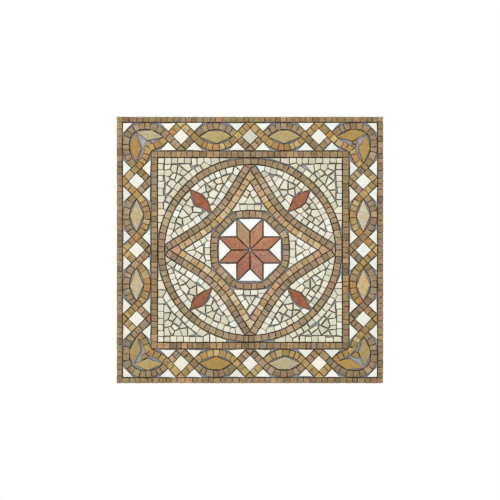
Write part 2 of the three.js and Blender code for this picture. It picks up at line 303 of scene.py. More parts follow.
# Single stones, gathered into one mesh for each piece

class Stones:
    """Hand-cut stones: chipped outlines, worn edges and faces a little out of true."""

    EDGE_STEP = 3.6
    ROUGHNESS = 0.16
    SHORTEST_EDGE = 0.6
    SMALLEST_AREA = 14.0
    SINK = 0.16
    TILT = 0.007
    # Inset of each ring of points, its depth below the stone's face and how much the stone materials darken
    # its colour there.
    RINGS = ((0.0, 1.1, 0.9), (0.12, 0.5, 0.75), (0.42, 0.14, 0.45), (1.3, 0.0, 0.12))

    def __init__(self, seed, fillet):
        self.rng = random.Random(seed)
        # An edge value of 2 marks the foot, which the stone materials darken with painted shade of the joint.
        self.fillet = ((-fillet, STONE_FOOT, 2.0), (-0.35, FILLET_TOP, 2.0))
        self.verts = []
        self.faces = []
        self.smooth = []
        self.tints = []
        self.edges = []

    def chipped(self, outline):
        points = []
        for a, b in sides_of(outline):
            length = abs(b - a)
            if length < self.SHORTEST_EDGE:
                continue
            along = unit(b - a)
            cut = min(self.rng.uniform(0.35, 0.95), length * 0.3)
            pieces = max(1, round((length - 2 * cut) / self.EDGE_STEP))
            bow = self.rng.gauss(0, 0.12)
            for k in range(pieces + 1):
                t = k / pieces
                out = self.rng.gauss(0, self.ROUGHNESS) + bow * 4 * t * (1 - t)
                points.append(a + along * (cut + (length - 2 * cut) * t) - 1j * along * min(out, 0.3))
        return points

    def add(self, outline, palette, spread=0.07):
        if len(outline) < 3 or area(outline) < self.SMALLEST_AREA:
            return
        ring = self.chipped(outline)
        if len(ring) < 5:
            return
        rng = self.rng
        middle = centre_of(ring)
        top = STONE_TOP - abs(rng.gauss(0, self.SINK))
        tilt = complex(rng.gauss(0, self.TILT), rng.gauss(0, self.TILT))
        colour = stone_colour(palette, rng, spread)
        chips = {rng.randrange(len(ring)): rng.uniform(0.3, 0.9) for _ in range(rng.choice((0, 1, 1, 2)))}
        first = len(self.verts)
        for inset, depth, edge in self.fillet:
            for p in ring:
                q = p - unit(p - middle) * inset
                q = complex(*(max(-BED_HALF, min(BED_HALF, side)) for side in (q.real, q.imag)))
                self.put(q, depth, colour, edge)
        for inset, below, edge in self.RINGS:
            for k, p in enumerate(ring):
                chip = chips.get(k, 0)
                q = p + unit(middle - p) * min(inset + chip, abs(middle - p) * 0.6)
                depth = top - below - chip * 0.5 * (below < 0.3) + dot(q - middle, tilt)
                self.put(q, depth, colour, edge)
        self.put(middle, top + rng.uniform(-0.06, 0.1), colour, 0.0)
        self.close(first, len(ring))

    def put(self, place, depth, colour, edge):
        self.verts.append((place.real * MM, -depth * MM, place.imag * MM))
        self.tints.extend(colour)
        self.edges.append(edge)

    def close(self, first, around):
        rings = len(self.fillet) + len(self.RINGS)
        self.faces += ring_quads(first, around, rings)
        self.smooth += [r > 1 for r in range(rings - 1) for _ in range(around)]
        last = first + (rings - 1) * around
        self.faces += [(last + k, last + (k + 1) % around, last + around) for k in range(around)]
        self.faces.append(tuple(first + k for k in reversed(range(around))))
        self.smooth += [True] * around + [False]

    def finish(self, node, slot, name=None):
        name = name or f"{node}_stones"
        mesh = new_mesh(name, self.verts, self.faces)
        mesh.polygons.foreach_set("use_smooth", self.smooth)
        mesh.attributes.new("tint", "FLOAT_COLOR", "POINT").data.foreach_set("color", self.tints)
        mesh.attributes.new("edge", "FLOAT", "POINT").data.foreach_set("value", self.edges)
        add_piece(name, mesh, slot, [node])


# Rows of stones

def lay_row(stones, track, start, end, width, palette, mean, fan=0.6, cuts=(),
            gap=(0.4, 0.85), loose=0.35):
    """Stones along a track from start to end, cut to random lengths.

    fan is how far their ends turn with a bend: 0 is square, 1 is radial. cuts are
    lines, each a place and a normal, that bound the stones. gap is half the joint
    between two stones, and loose how far their sides stray."""
    rng = stones.rng
    count = max(1, round((end - start) / mean))
    shares = [rng.uniform(0.76, 1.24) for _ in range(count)]
    scale = (end - start) / sum(shares)
    here = start
    for share in shares:
        after = here + share * scale
        a, run_a = track.at(here + rng.uniform(*gap))
        b, run_b = track.at(after - rng.uniform(*gap))
        chord = unit(b - a)
        side_a = 1j * unit(chord * (1 - fan) + run_a * fan)
        side_b = 1j * unit(chord * (1 - fan) + run_b * fan)
        right = width / 2 - abs(rng.gauss(0, loose))
        left = width / 2 - abs(rng.gauss(0, loose))
        outline = [a - side_a * right, b - side_b * right, b + side_b * left, a + side_a * left]
        outline = [p + complex(rng.gauss(0, loose / 2), rng.gauss(0, loose / 2)) for p in outline]
        for place, normal in cuts:
            outline = clipped(outline, place, normal)
        stones.add(outline, palette)
        here = after


def frame_row(node, outer_half, width, seed, fillet):
    """Four straight rows, each running on past the one before it at its corner."""
    stones = Stones(seed, fillet)
    middle = outer_half - width / 2
    edge = outer_half - FRAME_EDGE
    inside = outer_half - width
    end = 2 * outer_half - width - FRAME_CORNER_JOINT
    for side in range(4):
        way = (-1j) ** side
        track = Track([(-outer_half + middle * 1j) * way, (outer_half + middle * 1j) * way])
        cuts = [(edge * 1j * way, -1j * way), (-edge * way, way), (inside * 1j * way, 1j * way)]
        lay_row(stones, track, 0, end, width + FRAME_SPARE, "brown", FRAME_PITCH, cuts=cuts,
                gap=(0.25, 0.6), loose=0.25)
    stones.finish(node, "brown_travertine")


def circle_points(radius_at, steps=360):
    angles = [2 * math.pi * i / steps for i in range(steps + 1)]
    return [cmath.rect(radius_at(a), a) for a in angles]


def ring_radius(angle, flat_radius):
    step = math.pi / 4
    from_flat = angle - step * round(angle / step)
    return flat_radius / math.cos(from_flat) ** RING_ROUNDNESS


def circle_band():
    stones = Stones(13, WIDE_FILLET)
    track = Track(circle_points(lambda a: CIRCLE_OUTER - CIRCLE_WIDTH / 2))
    lay_row(stones, track, 0, track.length, CIRCLE_WIDTH, "dun", BAND_PITCH)
    stones.finish("circle_band", "brown_travertine")


def ring_band():
    """Its lowest stones are narrower, and leave a gap inside them."""
    stones = Stones(14, MIDDLING_FILLET)
    for start, end, width in ((0, 0.69, RING_WIDTH), (0.69, 0.81, RING_LOW_WIDTH), (0.81, 1, RING_WIDTH)):
        track = Track(circle_points(lambda a: ring_radius(a, RING_OUTER) - width / 2))
        lay_row(stones, track, start * track.length, end * track.length, width, "dun", BAND_PITCH)
    stones.finish("ring_band", "brown_travertine")


# Four-pointed star

def star_side(inset, quarter, steps=24):
    """One hollow side of the star, from a point of it to the next clockwise."""
    half_turn = math.pi / 4 - STAR_HALF_ANGLE
    apex = STAR_APEX - inset / STAR_SIN
    centre = complex(STAR_ARC_CENTRE, STAR_ARC_CENTRE)
    points = [complex(0, apex)]
    for i in range(steps + 1):
        angle = math.pi * 1.25 - half_turn * (1 - 2 * i / steps)
        points.append(centre + cmath.rect(STAR_SIDE_ARC + inset, angle))
    points.append(complex(apex, 0))
    return [p * (-1j) ** quarter for p in points]


def star_stones(node, inset, palette, slot, seed):
    """A band of the star: its points are capped by kite-shaped stones."""
    stones = Stones(seed, MIDDLING_FILLET)
    middle = inset + STAR_BAND_WIDTH / 2
    cap = STAR_BAND_WIDTH / 2 / STAR_TAN
    for quarter in range(4):
        track = Track(star_side(middle, quarter))
        lay_row(stones, track, cap + 0.4, track.length - cap - 0.4, STAR_BAND_WIDTH, palette, BAND_PITCH)
        way = (-1j) ** quarter
        tip = complex(0, STAR_APEX - inset / STAR_SIN)
        low = tip - 1j * STAR_BAND_WIDTH / STAR_SIN
        reach = STAR_BAND_WIDTH / STAR_TAN
        right = tip + reach * turn(STAR_HALF_ANGLE - math.pi / 2)
        left = -right.conjugate()
        lid = CIRCLE_INNER - JOINT
        kite = clipped([tip, left, low, right], complex(0, lid), -1j)
        stones.add([p * way for p in shrunk(kite, JOINT / 2)], palette)
    stones.finish(node, slot)


# Braid. A side's own plan has the braid's axis along its right-hand direction
# and the panel's edge above it.

def on_side(place, side):
    return (place + AXIS * 1j) * (-1j) ** side


def top_strand(side, square, hand):
    """Which strand passes on top at a crossing: they take turns, but for two slips."""
    slips = {("top", 1, -1), ("left", 2, -1)}
    if (SIDES[side], square, hand) in slips:
        return "ochre"
    return "ochre" if hand > 0 else "brown"


def lens_arc(outward, steps=16):
    """From the end of the straight run beside a crossing to the middle of the lens."""
    points = []
    for i in range(steps + 1):
        angle = math.pi / 4 * (1 - i / steps)
        rise = LENS_RISE - LENS_ARC_RADIUS * (1 - math.cos(angle))
        points.append(complex(-LENS_ARC_RADIUS * math.sin(angle), -outward * rise))
    return points


def half_run(outward):
    """From a strand's peak beside a square stone to the middle of the next lens."""
    return [complex(-SPACING / 2, outward * REACH)] + lens_arc(outward)


def mirrored(points):
    return [-p.conjugate() for p in reversed(points)]


def lens_run(side, square, outward):
    middle = SQUARES[square] + SPACING / 2
    half = half_run(outward)
    return [on_side(p + middle, side) for p in half + mirrored(half)[1:]]


def corner_run(side, outward):
    """Round the corner after a side's last square stone, on to the next side."""
    start = [p + SQUARES[2] + SPACING / 2 + AXIS * 1j for p in half_run(outward)]
    if outward < 0:
        radius, centre = CORNER_ARC_RADIUS, CORNER_ARC_CENTRE
    else:
        radius, centre = INNER_TURN_RADIUS, AXIS - LENS_RISE - INNER_TURN_RADIUS
        start = [p for p in start if p.real < centre]
    angles = [math.pi / 2 * (1 - i / CORNER_STEPS) for i in range(CORNER_STEPS // 2 + 1)]
    arc = [complex(centre, centre) + cmath.rect(radius, angle) for angle in angles]
    half = start + arc
    other = [1j * p.conjugate() for p in reversed(half[:-1])]
    return [p * (-1j) ** side for p in half + other]


def zone_cuts(side):
    """The braid stays between the frames on its own side."""
    room = ZONE_HALF - 0.2
    way = (-1j) ** side
    return [(on_side(room * 1j, side), -1j * way), (on_side(-room * 1j, side), 1j * way)]


LAID_WIDTH = STRAND_WIDTH + 0.5
STRAND_FAN = 0.8
STRAND_CLEAR = STRAND_WIDTH / 2 + JOINT / 2
STRAND_PALETTES = {"ochre": "ochre", "brown": "umber"}


def lay_strand_tips(stones, palette, outward):
    """A square stone beside some white squares. Past the others a row runs on, in or out."""
    through = {}
    for side in range(4):
        for square in range(3):
            through[side, square] = stones.rng.choice(("tip", "tip", "in", "out"))
            if through[side, square] == "tip":
                half = STRAND_WIDTH / ROOT_2
                peak = SQUARES[square] + outward * REACH * 1j
                tip = [peak + half * 1j ** k for k in range(4)]
                tip = clipped(tip, outward * ZONE_HALF * 1j, -outward * 1j)
                stones.add([on_side(p, side) for p in shrunk(tip, JOINT / 2)], palette)
    return through


def strand_stretches(name, place, following, length, through):
    """Starts and ends between two white squares, clear of the crossings passed below."""
    crossing = REACH * ROOT_2
    stops = [-STRAND_CLEAR if through[place] == "out" else STRAND_CLEAR]
    if top_strand(*place, 1) != name:
        stops += [crossing - STRAND_CLEAR, crossing + STRAND_CLEAR]
    if top_strand(*following, -1) != name:
        stops += [length - crossing - STRAND_CLEAR, length - crossing + STRAND_CLEAR]
    stops.append(length + STRAND_CLEAR if through[following] == "in" else length - STRAND_CLEAR)
    return zip(stops[::2], stops[1::2])


def corner_parts(start, end, length, side):
    """A stretch near a corner, cut in parts: each end keeps to its own side of the braid."""
    here = zone_cuts(side)
    there = zone_cuts((side + 1) % 4)
    if end < length / 2:
        return [(start, end, here)]
    if start > length / 2:
        return [(start, end, there)]
    first = min(STRAND_WIDTH * 2, length / 4)
    last = length - first
    parts = []
    if start < first:
        parts.append((start, first, here))
    if end > last:
        parts.append((last, end, there))
    return parts + [(max(start, first), min(end, last), [])]


def lay_strand(stones, name, outward):
    palette = STRAND_PALETTES[name]
    through = lay_strand_tips(stones, palette, outward)
    for side in range(4):
        for square in range(3):
            corner = square == 2
            following = ((side + 1) % 4, 0) if corner else (side, square + 1)
            track = Track(corner_run(side, outward) if corner else lens_run(side, square, outward))
            for a, b in strand_stretches(name, (side, square), following, track.length, through):
                parts = corner_parts(a, b, track.length, side) if corner else [(a, b, zone_cuts(side))]
                for start, end, cuts in parts:
                    lay_row(stones, track, start, end, LAID_WIDTH, palette, STRAND_PITCH, STRAND_FAN, cuts)


# Ochre stones outside the strand's turn at each corner, clockwise from the top
# left: millimetres along from the panel's corner, and in from its edge.
CORNER_FILLS = [
    [[75.4+61.6j, 69.6+71.4j, 78.6+72.6j, 85.6+69.6j, 84.4+63.4j],
     [68.9+72.9j, 66.9+80.2j, 70.6+81.6j, 77.3+74.0j]],
    [[61.6+74.7j, 65.8+76.7j, 67.5+67.5j, 61.1+64.3j, 56.7+65.6j],
     [70.3+79.2j, 73.7+74.2j, 75.9+69.8j, 69.3+68.3j]],
    [[79.2+70.3j, 73.7+65.6j, 60.6+64.1j, 59.4+67.8j, 63.3+76.2j, 69.5+76.9j]],
    [[74.7+67.5j, 68.0+63.8j, 57.9+60.1j, 63.1+74.2j, 67.3+77.7j]],
]


def corner_fills(stones):
    for corner, shapes in enumerate(CORNER_FILLS):
        for shape in shapes:
            outline = [complex(p.real - PANEL_HALF, PANEL_HALF - p.imag) for p in shape]
            stones.add([p * (-1j) ** corner for p in outline], "ochre")


def strand_piece(name, outward, slot, seed):
    stones = Stones(seed, MIDDLING_FILLET)
    lay_strand(stones, name, outward)
    if name == "ochre":
        corner_fills(stones)
    stones.finish(f"strand_{name}", slot)


def crossing_wedge(rng, up):
    height = ZONE_HALF - WEDGE_APEX - JOINT * 0.6
    tall = height - abs(rng.gauss(0, 0.8))
    left = tall - abs(rng.gauss(0, 0.9))
    right = tall - abs(rng.gauss(0, 0.9))
    lean = rng.gauss(0, 0.4)
    apex = complex(0, WEDGE_APEX + 0.4)
    wedge = [apex, apex + complex(right, tall + lean), apex + complex(-left, tall - lean)]
    return wedge if up else [p.conjugate() for p in reversed(wedge)]


def corner_wedge(rng):
    corner = BRAID_OUTER_HALF - 1.2
    clear = (corner - CORNER_ARC_CENTRE) * ROOT_2 - CORNER_ARC_RADIUS - STRAND_WIDTH / 2 - JOINT
    leg = clear * ROOT_2 - rng.uniform(0.5, 2.0)
    return [complex(corner, corner), complex(corner - leg, corner), complex(corner, corner - leg)]


def border_wedges():
    stones = Stones(21, MIDDLING_FILLET)
    for side in range(4):
        for square in SQUARES:
            for hand in (-1, 1):
                for up in (False, True):
                    wedge = crossing_wedge(stones.rng, up)
                    stones.add([on_side(p + square + hand * REACH, side) for p in wedge], "white")
        stones.add([p * (-1j) ** side for p in corner_wedge(stones.rng)], "white")
    stones.finish("border_wedges", "white_marble", "white_border_wedges")


# Pieces of one stone each

def one_stone(node, outline, palette, slot, seed, spread=0.05, fillet=NARROW_FILLET):
    stones = Stones(seed, fillet)
    stones.add(outline, palette, spread)
    stones.finish(node, slot, f"{node}_stone")


def white_squares():
    rng = random.Random(22)
    for side in range(4):
        for k, square in enumerate(SQUARES):
            half = (SQUARE_STONE_SIDE + 0.8 - rng.uniform(0, 0.8)) / ROOT_2
            lean = turn(rng.gauss(0, 0.015))
            outline = [on_side(square + half * 1j ** n * lean, side) for n in range(4)]
            palette = "grey white" if (SIDES[side], k) == ("top", 1) else "white"
            node = f"white_square_{SIDES[side]}_{k + 1}"
            one_stone(node, outline, palette, "white_marble", 100 + side * 3 + k, 0.03)


# Almonds. Their kinds run clockwise along each side, from corner to corner.
ALMOND_KINDS = {
    "top": "pale gold gold orange",
    "right": "orange palest light brown",
    "bottom": "orange pale orange gold",
    "left": "brown dusty pale amber",
}


# Corner almonds, each cut to fit: millimetres along the side from the panel's
# corner, and in from its edge, from the tip at the corner round by the outside.
CORNER_ALMONDS = {
    ("top", -1): [48.7+36.2j, 88.0+31.0j, 114.6+50.4j, 75.6+58.8j],
    ("top", 1): [42.5+41.0j, 68.0+31.5j, 82.0+31.0j, 117.2+48.2j, 76.7+60.4j],
    ("right", -1): [45.0+41.5j, 77.9+31.3j, 114.9+48.6j, 79.0+61.4j],
    ("right", 1): [42.5+46.0j, 73.0+31.7j, 86.0+31.2j, 115.9+47.0j, 77.8+61.4j],
    ("bottom", -1): [49.7+38.3j, 92.0+33.5j, 118.8+52.5j, 82.3+61.6j],
    ("bottom", 1): [43.5+47.0j, 76.8+31.7j, 112.5+48.6j, 77.9+61.6j],
    ("left", -1): [49.8+41.8j, 65.4+32.5j, 83.4+31.0j, 117.3+50.2j, 81.2+60.2j],
    ("left", 1): [39.4+47.3j, 76.8+31.7j, 116.1+45.5j, 79.0+60.6j],
}


def almond_outline(name, rng):
    """Two shoulders on the top and bottom sides, a plain lozenge on the other two."""
    tip = SPACING / 2 - REACH - WEDGE_APEX - 0.5
    edge_radius = LENS_ARC_RADIUS - STRAND_WIDTH / 2 - JOINT - 0.2

    def edge(x):
        return LENS_RISE - LENS_ARC_RADIUS + math.sqrt(edge_radius ** 2 - x ** 2)

    shoulders = [rng.uniform(13, 17), -rng.uniform(12, 16)]
    if name in ("right", "left"):
        shoulders = [rng.uniform(-5, 5)]
    keel = rng.uniform(-4, 4)
    outline = [complex(-tip, rng.uniform(-1, 1)), complex(keel, -edge(keel))]
    outline.append(complex(tip, rng.uniform(-1, 1)))
    return outline + [complex(x, edge(x) - rng.uniform(0, 0.6)) for x in shoulders]


def corner_almond_outline(name, hand):
    side = SIDES.index(name)
    lane = corner_run(side if hand > 0 else side - 1, -1)
    clear = STRAND_WIDTH / 2 + 1.2
    outline = []
    for corner in CORNER_ALMONDS[name, hand]:
        p = complex(hand * (PANEL_HALF - corner.real), PANEL_HALF - AXIS - corner.imag)
        gap, place = nearest_on(lane, on_side(p, side))
        if gap < clear:
            p += unit(p - (place * 1j ** side - AXIS * 1j)) * (clear - gap)
        outline.append(p)
    return outline if hand > 0 else outline[::-1]


def almonds():
    rng = random.Random(23)
    for side, name in enumerate(SIDES):
        outlines = [corner_almond_outline(name, -1)]
        outlines += [[p + square + SPACING / 2 for p in almond_outline(name, rng)] for square in SQUARES[:2]]
        outlines += [corner_almond_outline(name, 1)]
        ends = ("corner_left", "1", "2", "corner_right")
        kinds = ALMOND_KINDS[name].split()
        for k, (outline, end, kind) in enumerate(zip(outlines, ends, kinds)):
            placed = [on_side(p, side) for p in outline]
            one_stone(f"almond_{name}_{end}", placed, f"{kind} honey", "honey_marble", 120 + side * 4 + k)


# Middle star and red lozenges

def middle_star():
    half_angle = math.pi / 8
    side = MIDDLE_STAR_TIP / (2 * math.cos(half_angle))
    kinds = ["red", "red", "tan red", "red", "red", "dark red", "pink red", "pink red"]
    lozenge = [0j, side * turn(-half_angle), complex(MIDDLE_STAR_TIP, 0), side * turn(half_angle)]
    tip = MIDDLE_STAR_TIP * turn(half_angle)
    triangle = [complex(side, 0), tip.conjugate(), tip]
    for k, kind in enumerate(kinds):
        way = turn((k + 0.5) * math.pi / 4)
        outline = [p * way for p in shrunk(lozenge, JOINT * 0.85)]
        one_stone(f"star_lozenge_{k + 1}", outline, kind, "red_marble", 140 + k,
                  fillet=WIDE_FILLET)
        way = turn(k * math.pi / 4)
        outline = [p * way for p in shrunk(triangle, JOINT * 1.15)]
        one_stone(f"star_triangle_{k + 1}", outline, "pure white", "white_marble", 150 + k, 0.02)


def field_lozenge(quarter):
    """Outline of a red lozenge: quarter 0 is at the top right, then anticlockwise."""
    far = CIRCLE_INNER - JOINT - 1.0
    near = STAR_WAIST + JOINT
    middle = (far + near) / 2
    shapes = [
        [(far, 0), (middle + 12, 12), (middle - 6, 13), (near, 0), (middle - 9, -12), (middle + 9, -13)],
        [(far, -1), (middle + 5, 17), (near, 1), (middle - 9, -11), (middle + 9, -12)],
        [(far, 0), (middle + 7, 13), (middle - 9, 12), (near, 0), (middle - 9, -10), (middle + 10, -13)],
        [(far, 0), (middle + 10, 12), (middle - 8, 13), (near, 0), (middle - 6, -12), (middle + 9, -12)],
    ]
    return [complex(x, y) * turn(math.pi / 4 + quarter * math.pi / 2) for x, y in shapes[quarter]]


def field_lozenges():
    for quarter in range(4):
        outline = shrunk(field_lozenge(quarter), 0.3)
        one_stone(f"field_lozenge_{quarter + 1}", outline, "rust", "red_marble", 160 + quarter)


# Cream ground: each stone is the cell round a seed, cut by its neighbours'
# cells and by the borders of its area. A row of squarer stones runs along
# most borders, and the stones between the rows are cut at random.
ROW_WIDTH = 14.6
ROW_PITCH = 16.6
ROW_CLEAR = 4.6
ROW_APART = 10.4
LOOSE_CLEAR = ROW_WIDTH + 5.2
LOOSE_APART = (12.8, 14.8)
LOOSE_TRIES = (4000, 9000, 3500)
TIP_CLEAR = 2.2
TIP_APART = 13.2
LOZENGE_CLEAR = 5.0
CELL_REACH = 18.0
LARGEST_CELL = 400.0
SHORTEST_SIDE = 4.4
SHORTEST_ROW_SIDE = 2.4
SLIVER = 0.3
SLIVER_AREA = 60.0
GROUND_PALETTES = [("dull cream", "cream"), ("cream", "pale cream"), ("cream", "pale cream")]


def nearest_on(line, p):
    best_gap, best_place = math.inf, 0j
    for a, b in zip(line, line[1:]):
        run = b - a
        t = max(0.0, min(1.0, dot(p - a, run) / dot(run, run)))
        place = a + run * t
        gap = abs(p - place)
        if gap < best_gap:
            best_gap, best_place = gap, place
    return best_gap, best_place


def encloses(outline, p):
    inside = False
    for a, b in sides_of(outline):
        if (a.imag > p.imag) != (b.imag > p.imag):
            if p.real < a.real + (b.real - a.real) * (p.imag - a.imag) / (b.imag - a.imag):
                inside = not inside
    return inside


# The place of a cream stone. A stone of a row also knows its border.
Seed = namedtuple("Seed", "place weight back inwards", defaults=(0.0, None, None))


def anywhere(rng, tries):
    for _ in range(tries):
        yield complex(rng.uniform(-1, 1), rng.uniform(-1, 1)) * FIELD_HALF


def parting(a, b):
    """The line between two stones, as a place and the direction towards a."""
    if a.back is None and b.back is not None:
        away = a.place - b.place
        if dot(away, b.inwards) > abs(dot(away, 1j * b.inwards)) * 0.75:
            return b.back, b.inwards
    if a.back is not None and b.back is None:
        place, normal = parting(b, a)
        return place, -normal
    run = a.place - b.place
    share = (abs(run) ** 2 + b.weight - a.weight) / (2 * abs(run) ** 2)
    return b.place + run * share, unit(run)


class Ground:
    """An area of the cream ground. The lines that bound it have it on their left."""

    def __init__(self, within, without, rowed, bare=()):
        self.within = within
        self.without = without
        self.rowed = rowed
        self.bare = bare
        self.seeds = []

    def holds(self, p):
        return all(encloses(o, p) for o in self.within) and not any(encloses(o, p) for o in self.without)

    def plant(self, seed, clear, apart):
        p = seed.place
        if any(abs(p - other.place) < apart for other in self.seeds) or not self.holds(p):
            return
        rooms = [(line, clear) for line in self.rowed] + [(line, LOZENGE_CLEAR) for line in self.bare]
        if all(nearest_on(line, p)[0] >= room for line, room in rooms):
            self.seeds.append(seed)

    def plant_rows(self, rng):
        for line in self.rowed:
            track = Track(line)
            here = ROW_PITCH * rng.uniform(0.35, 0.65)
            while here < track.length:
                place, run = track.at(here)
                inwards = 1j * run
                back = place + inwards * (ROW_WIDTH + rng.gauss(0, 1.1))
                self.plant(Seed(place + inwards * ROW_WIDTH / 2, 0.0, back, inwards), ROW_CLEAR, ROW_APART)
                here += ROW_PITCH * rng.uniform(0.84, 1.16)

    def plant_loose(self, rng, tries):
        for p in anywhere(rng, tries):
            self.plant(Seed(p, rng.uniform(-30, 30)), LOOSE_CLEAR, rng.uniform(*LOOSE_APART))

    def plant_tips(self, rng, tries):
        """Slender stones where the ground narrows to a point."""
        for p in anywhere(rng, tries):
            self.plant(Seed(p), TIP_CLEAR, TIP_APART)

    def cell(self, seed):
        outline = [seed.place + CELL_REACH * corner for corner in (-1 - 1j, 1 - 1j, 1 + 1j, -1 + 1j)]
        for line in [*self.rowed, *self.bare]:
            gap, place = nearest_on(line, seed.place)
            if gap < CELL_REACH * 1.5:
                outline = clipped(outline, place, unit(seed.place - place))
        for other in self.seeds:
            if other is not seed and abs(other.place - seed.place) < 2.2 * CELL_REACH:
                place, normal = parting(seed, other)
                outline = clipped(outline, place, normal)
        return outline


def drawn_together(outline, least):
    """An outline with its short edges drawn together, and most of those past four."""
    while len(outline) > 3:
        lengths = [abs(b - a) for a, b in sides_of(outline)]
        k = lengths.index(min(lengths))
        if lengths[k] > (least if len(outline) == 4 else least * 2.0):
            break
        outline = outline[k:] + outline[:k]
        outline = [(outline[0] + outline[1]) / 2] + outline[2:]
    return outline


def squareness(outline):
    """1 for a square, and nearly 0 for a sliver."""
    around = sum(abs(b - a) for a, b in sides_of(outline))
    return 16 * area(outline) / around ** 2 if around else 0.0


def split(outline, rng, most):
    """A cell that is too large is cut across, where that leaves the squarest stones."""
    if len(outline) < 3 or area(outline) < most:
        return [outline]
    middle = centre_of(outline)
    first = turn(rng.uniform(0, math.pi))
    ways = [first * turn(k * math.pi / 6) for k in range(6)]
    cuts = [[clipped(outline, middle, way), clipped(outline, middle, -way)] for way in ways]
    best = max(cuts, key=lambda halves: min(squareness(half) for half in halves))
    return [piece for half in best for piece in split(half, rng, most)]


def grounds():
    square = [(-1 - 1j) * 1j ** k * FIELD_HALF for k in range(4)]
    outside_circle = circle_points(lambda a: CIRCLE_OUTER + JOINT, 180)[::-1]
    inside_circle = circle_points(lambda a: CIRCLE_INNER - JOINT, 180)
    star_out = [star_side(-JOINT, k) for k in range(4)]
    star_in = [star_side(2 * STAR_BAND_WIDTH + 2 * JOINT, k)[::-1] for k in range(4)]
    ring = circle_points(lambda a: ring_radius(a, RING_OUTER + JOINT), 96)[::-1]
    lozenges = []
    for quarter in range(4):
        outline = field_lozenge(quarter)
        wide = [p + unit(p - centre_of(outline)) * JOINT * 1.2 for p in outline]
        lozenges.append(wide + wide[:1])
    sides = [[a, b] for a, b in sides_of(square)]
    whole_star_out = [p for line in star_out for p in line]
    whole_star_in = [p for line in reversed(star_in) for p in line]
    return [
        Ground([square], [outside_circle], sides + [outside_circle]),
        Ground([inside_circle], [whole_star_out] + lozenges, star_out + [inside_circle], lozenges),
        Ground([whole_star_in], [ring], [ring] + star_in),
    ]


def cream_stones():
    stones = Stones(31, WIDE_FILLET)
    rng = stones.rng
    for ground, tries, palettes in zip(grounds(), LOOSE_TRIES, GROUND_PALETTES):
        ground.plant_rows(rng)
        ground.plant_loose(rng, tries)
        ground.plant_tips(rng, tries)
        for seed in ground.seeds:
            cell = ground.cell(seed)
            if len(cell) < 3:
                continue
            cell = shrunk(cell, JOINT / 2 - 0.2 + abs(rng.gauss(0, 0.15)))
            if len(cell) < 3:
                continue
            for piece in split(cell, rng, LARGEST_CELL * rng.uniform(0.7, 1.2)):
                piece = drawn_together(piece, SHORTEST_SIDE if seed.back is None else SHORTEST_ROW_SIDE)
                if area(piece) < area(cell) * 0.99:
                    piece = shrunk(piece, 0.5)
                if squareness(piece) < SLIVER and area(piece) < SLIVER_AREA:
                    continue
                stones.add(piece, palettes[0] if seed.back is None else rng.choice(palettes))
    stones.finish("cream_ground", "cream_marble")


# Glass-fibre net and the adhesive on it

def glass_fibre_net():
    """Flat threads across, and round threads up that pass over and under them."""
    rng = random.Random(41)
    half = NET_HALF - NET_MARGIN
    count = round(2 * half / NET_PITCH)
    step = 2 * half / count
    verts, faces = [], []

    def tube(stations, sections):
        first = len(verts)
        around = len(sections[0])
        for (x, z, depth), section in zip(stations, sections):
            verts.extend(((x + u) * MM, -(depth + v) * MM, (z + w) * MM) for u, v, w in section)
        faces.extend(ring_quads(first, around, len(stations)))
        faces.append(tuple(first + k for k in reversed(range(around))))
        last = first + (len(stations) - 1) * around
        faces.append(tuple(last + k for k in range(around)))

    across = [(0, -0.42, -0.7), (0, 0.42, -0.6), (0, 0.42, 0.6), (0, -0.42, 0.7)]
    for i in range(count + 1):
        z = -half + i * step
        stations = [(-half - rng.uniform(0, 0.8), z, NET_MIDDLE), (half + rng.uniform(0, 0.8), z, NET_MIDDLE)]
        tube(stations, [across, across])
    upright = [(-0.5, -0.3, 0), (0.5, -0.3, 0), (0, 0.42, 0)]
    for i in range(count + 1):
        x = -half + i * step
        stations = [(x + rng.gauss(0, 0.12), -half + j * step, NET_MIDDLE + NET_SWAY * (-1) ** (i + j))
                    for j in range(count + 1)]
        tube(stations, [upright] * len(stations))
    mesh = new_mesh("glass_fibre_net", verts, faces)
    add_piece("glass_fibre_net", mesh, "net", ["mesh_backing"])


def adhesive_point(i, j, under):
    """A point of the coat's face or underside, ragged where it is at the edge."""
    half = NET_HALF - ADHESIVE_MARGIN
    x = (2 * i / ADHESIVE_STEPS - 1) * half
    z = (2 * j / ADHESIVE_STEPS - 1) * half
    lump = noise.noise(Vector((x * 0.11, z * 0.11, 3.0 + under * 5)))
    ragged = 0.9 * noise.noise(Vector((x * 0.07, z * 0.07, 9.0)))
    if i in (0, ADHESIVE_STEPS):
        x += ragged
    if j in (0, ADHESIVE_STEPS):
        z += ragged
    depth = BED_BOTTOM + 0.1 * lump if under else BED_TOP + 0.16 * lump
    return (x * MM, -depth * MM, z * MM)


def adhesive_bed():
    """A thin uneven coat of adhesive over the whole net."""
    steps = ADHESIVE_STEPS
    row = steps + 1
    verts = [adhesive_point(i, j, under) for under in (0, 1) for j in range(row) for i in range(row)]
    faces = []
    sheet = row * row
    for j in range(steps):
        for i in range(steps):
            a = j * row + i
            faces.append((a, a + 1, a + row + 1, a + row))
            faces.append((sheet + a, sheet + a + row, sheet + a + row + 1, sheet + a + 1))
    rim = list(range(row)) + [j * row + steps for j in range(1, row)]
    rim += [steps * row + i for i in range(steps - 1, -1, -1)] + [j * row for j in range(steps - 1, 0, -1)]
    for a, b in sides_of(rim):
        faces.append((b, a, sheet + a, sheet + b))
    mesh = new_mesh("adhesive_bed", verts, faces)
    mesh.polygons.foreach_set("use_smooth", [True] * len(faces))
    add_piece("adhesive_bed", mesh, "adhesive", [])


# Materials. A stone's tint moves its texture, by TINT_SHIFT millimetres for a
# tint of 1, and turns it, by TINT_TURN radians, so that no two stones look alike.
TINT_SHIFT = 900.0
TINT_TURN = 97.0


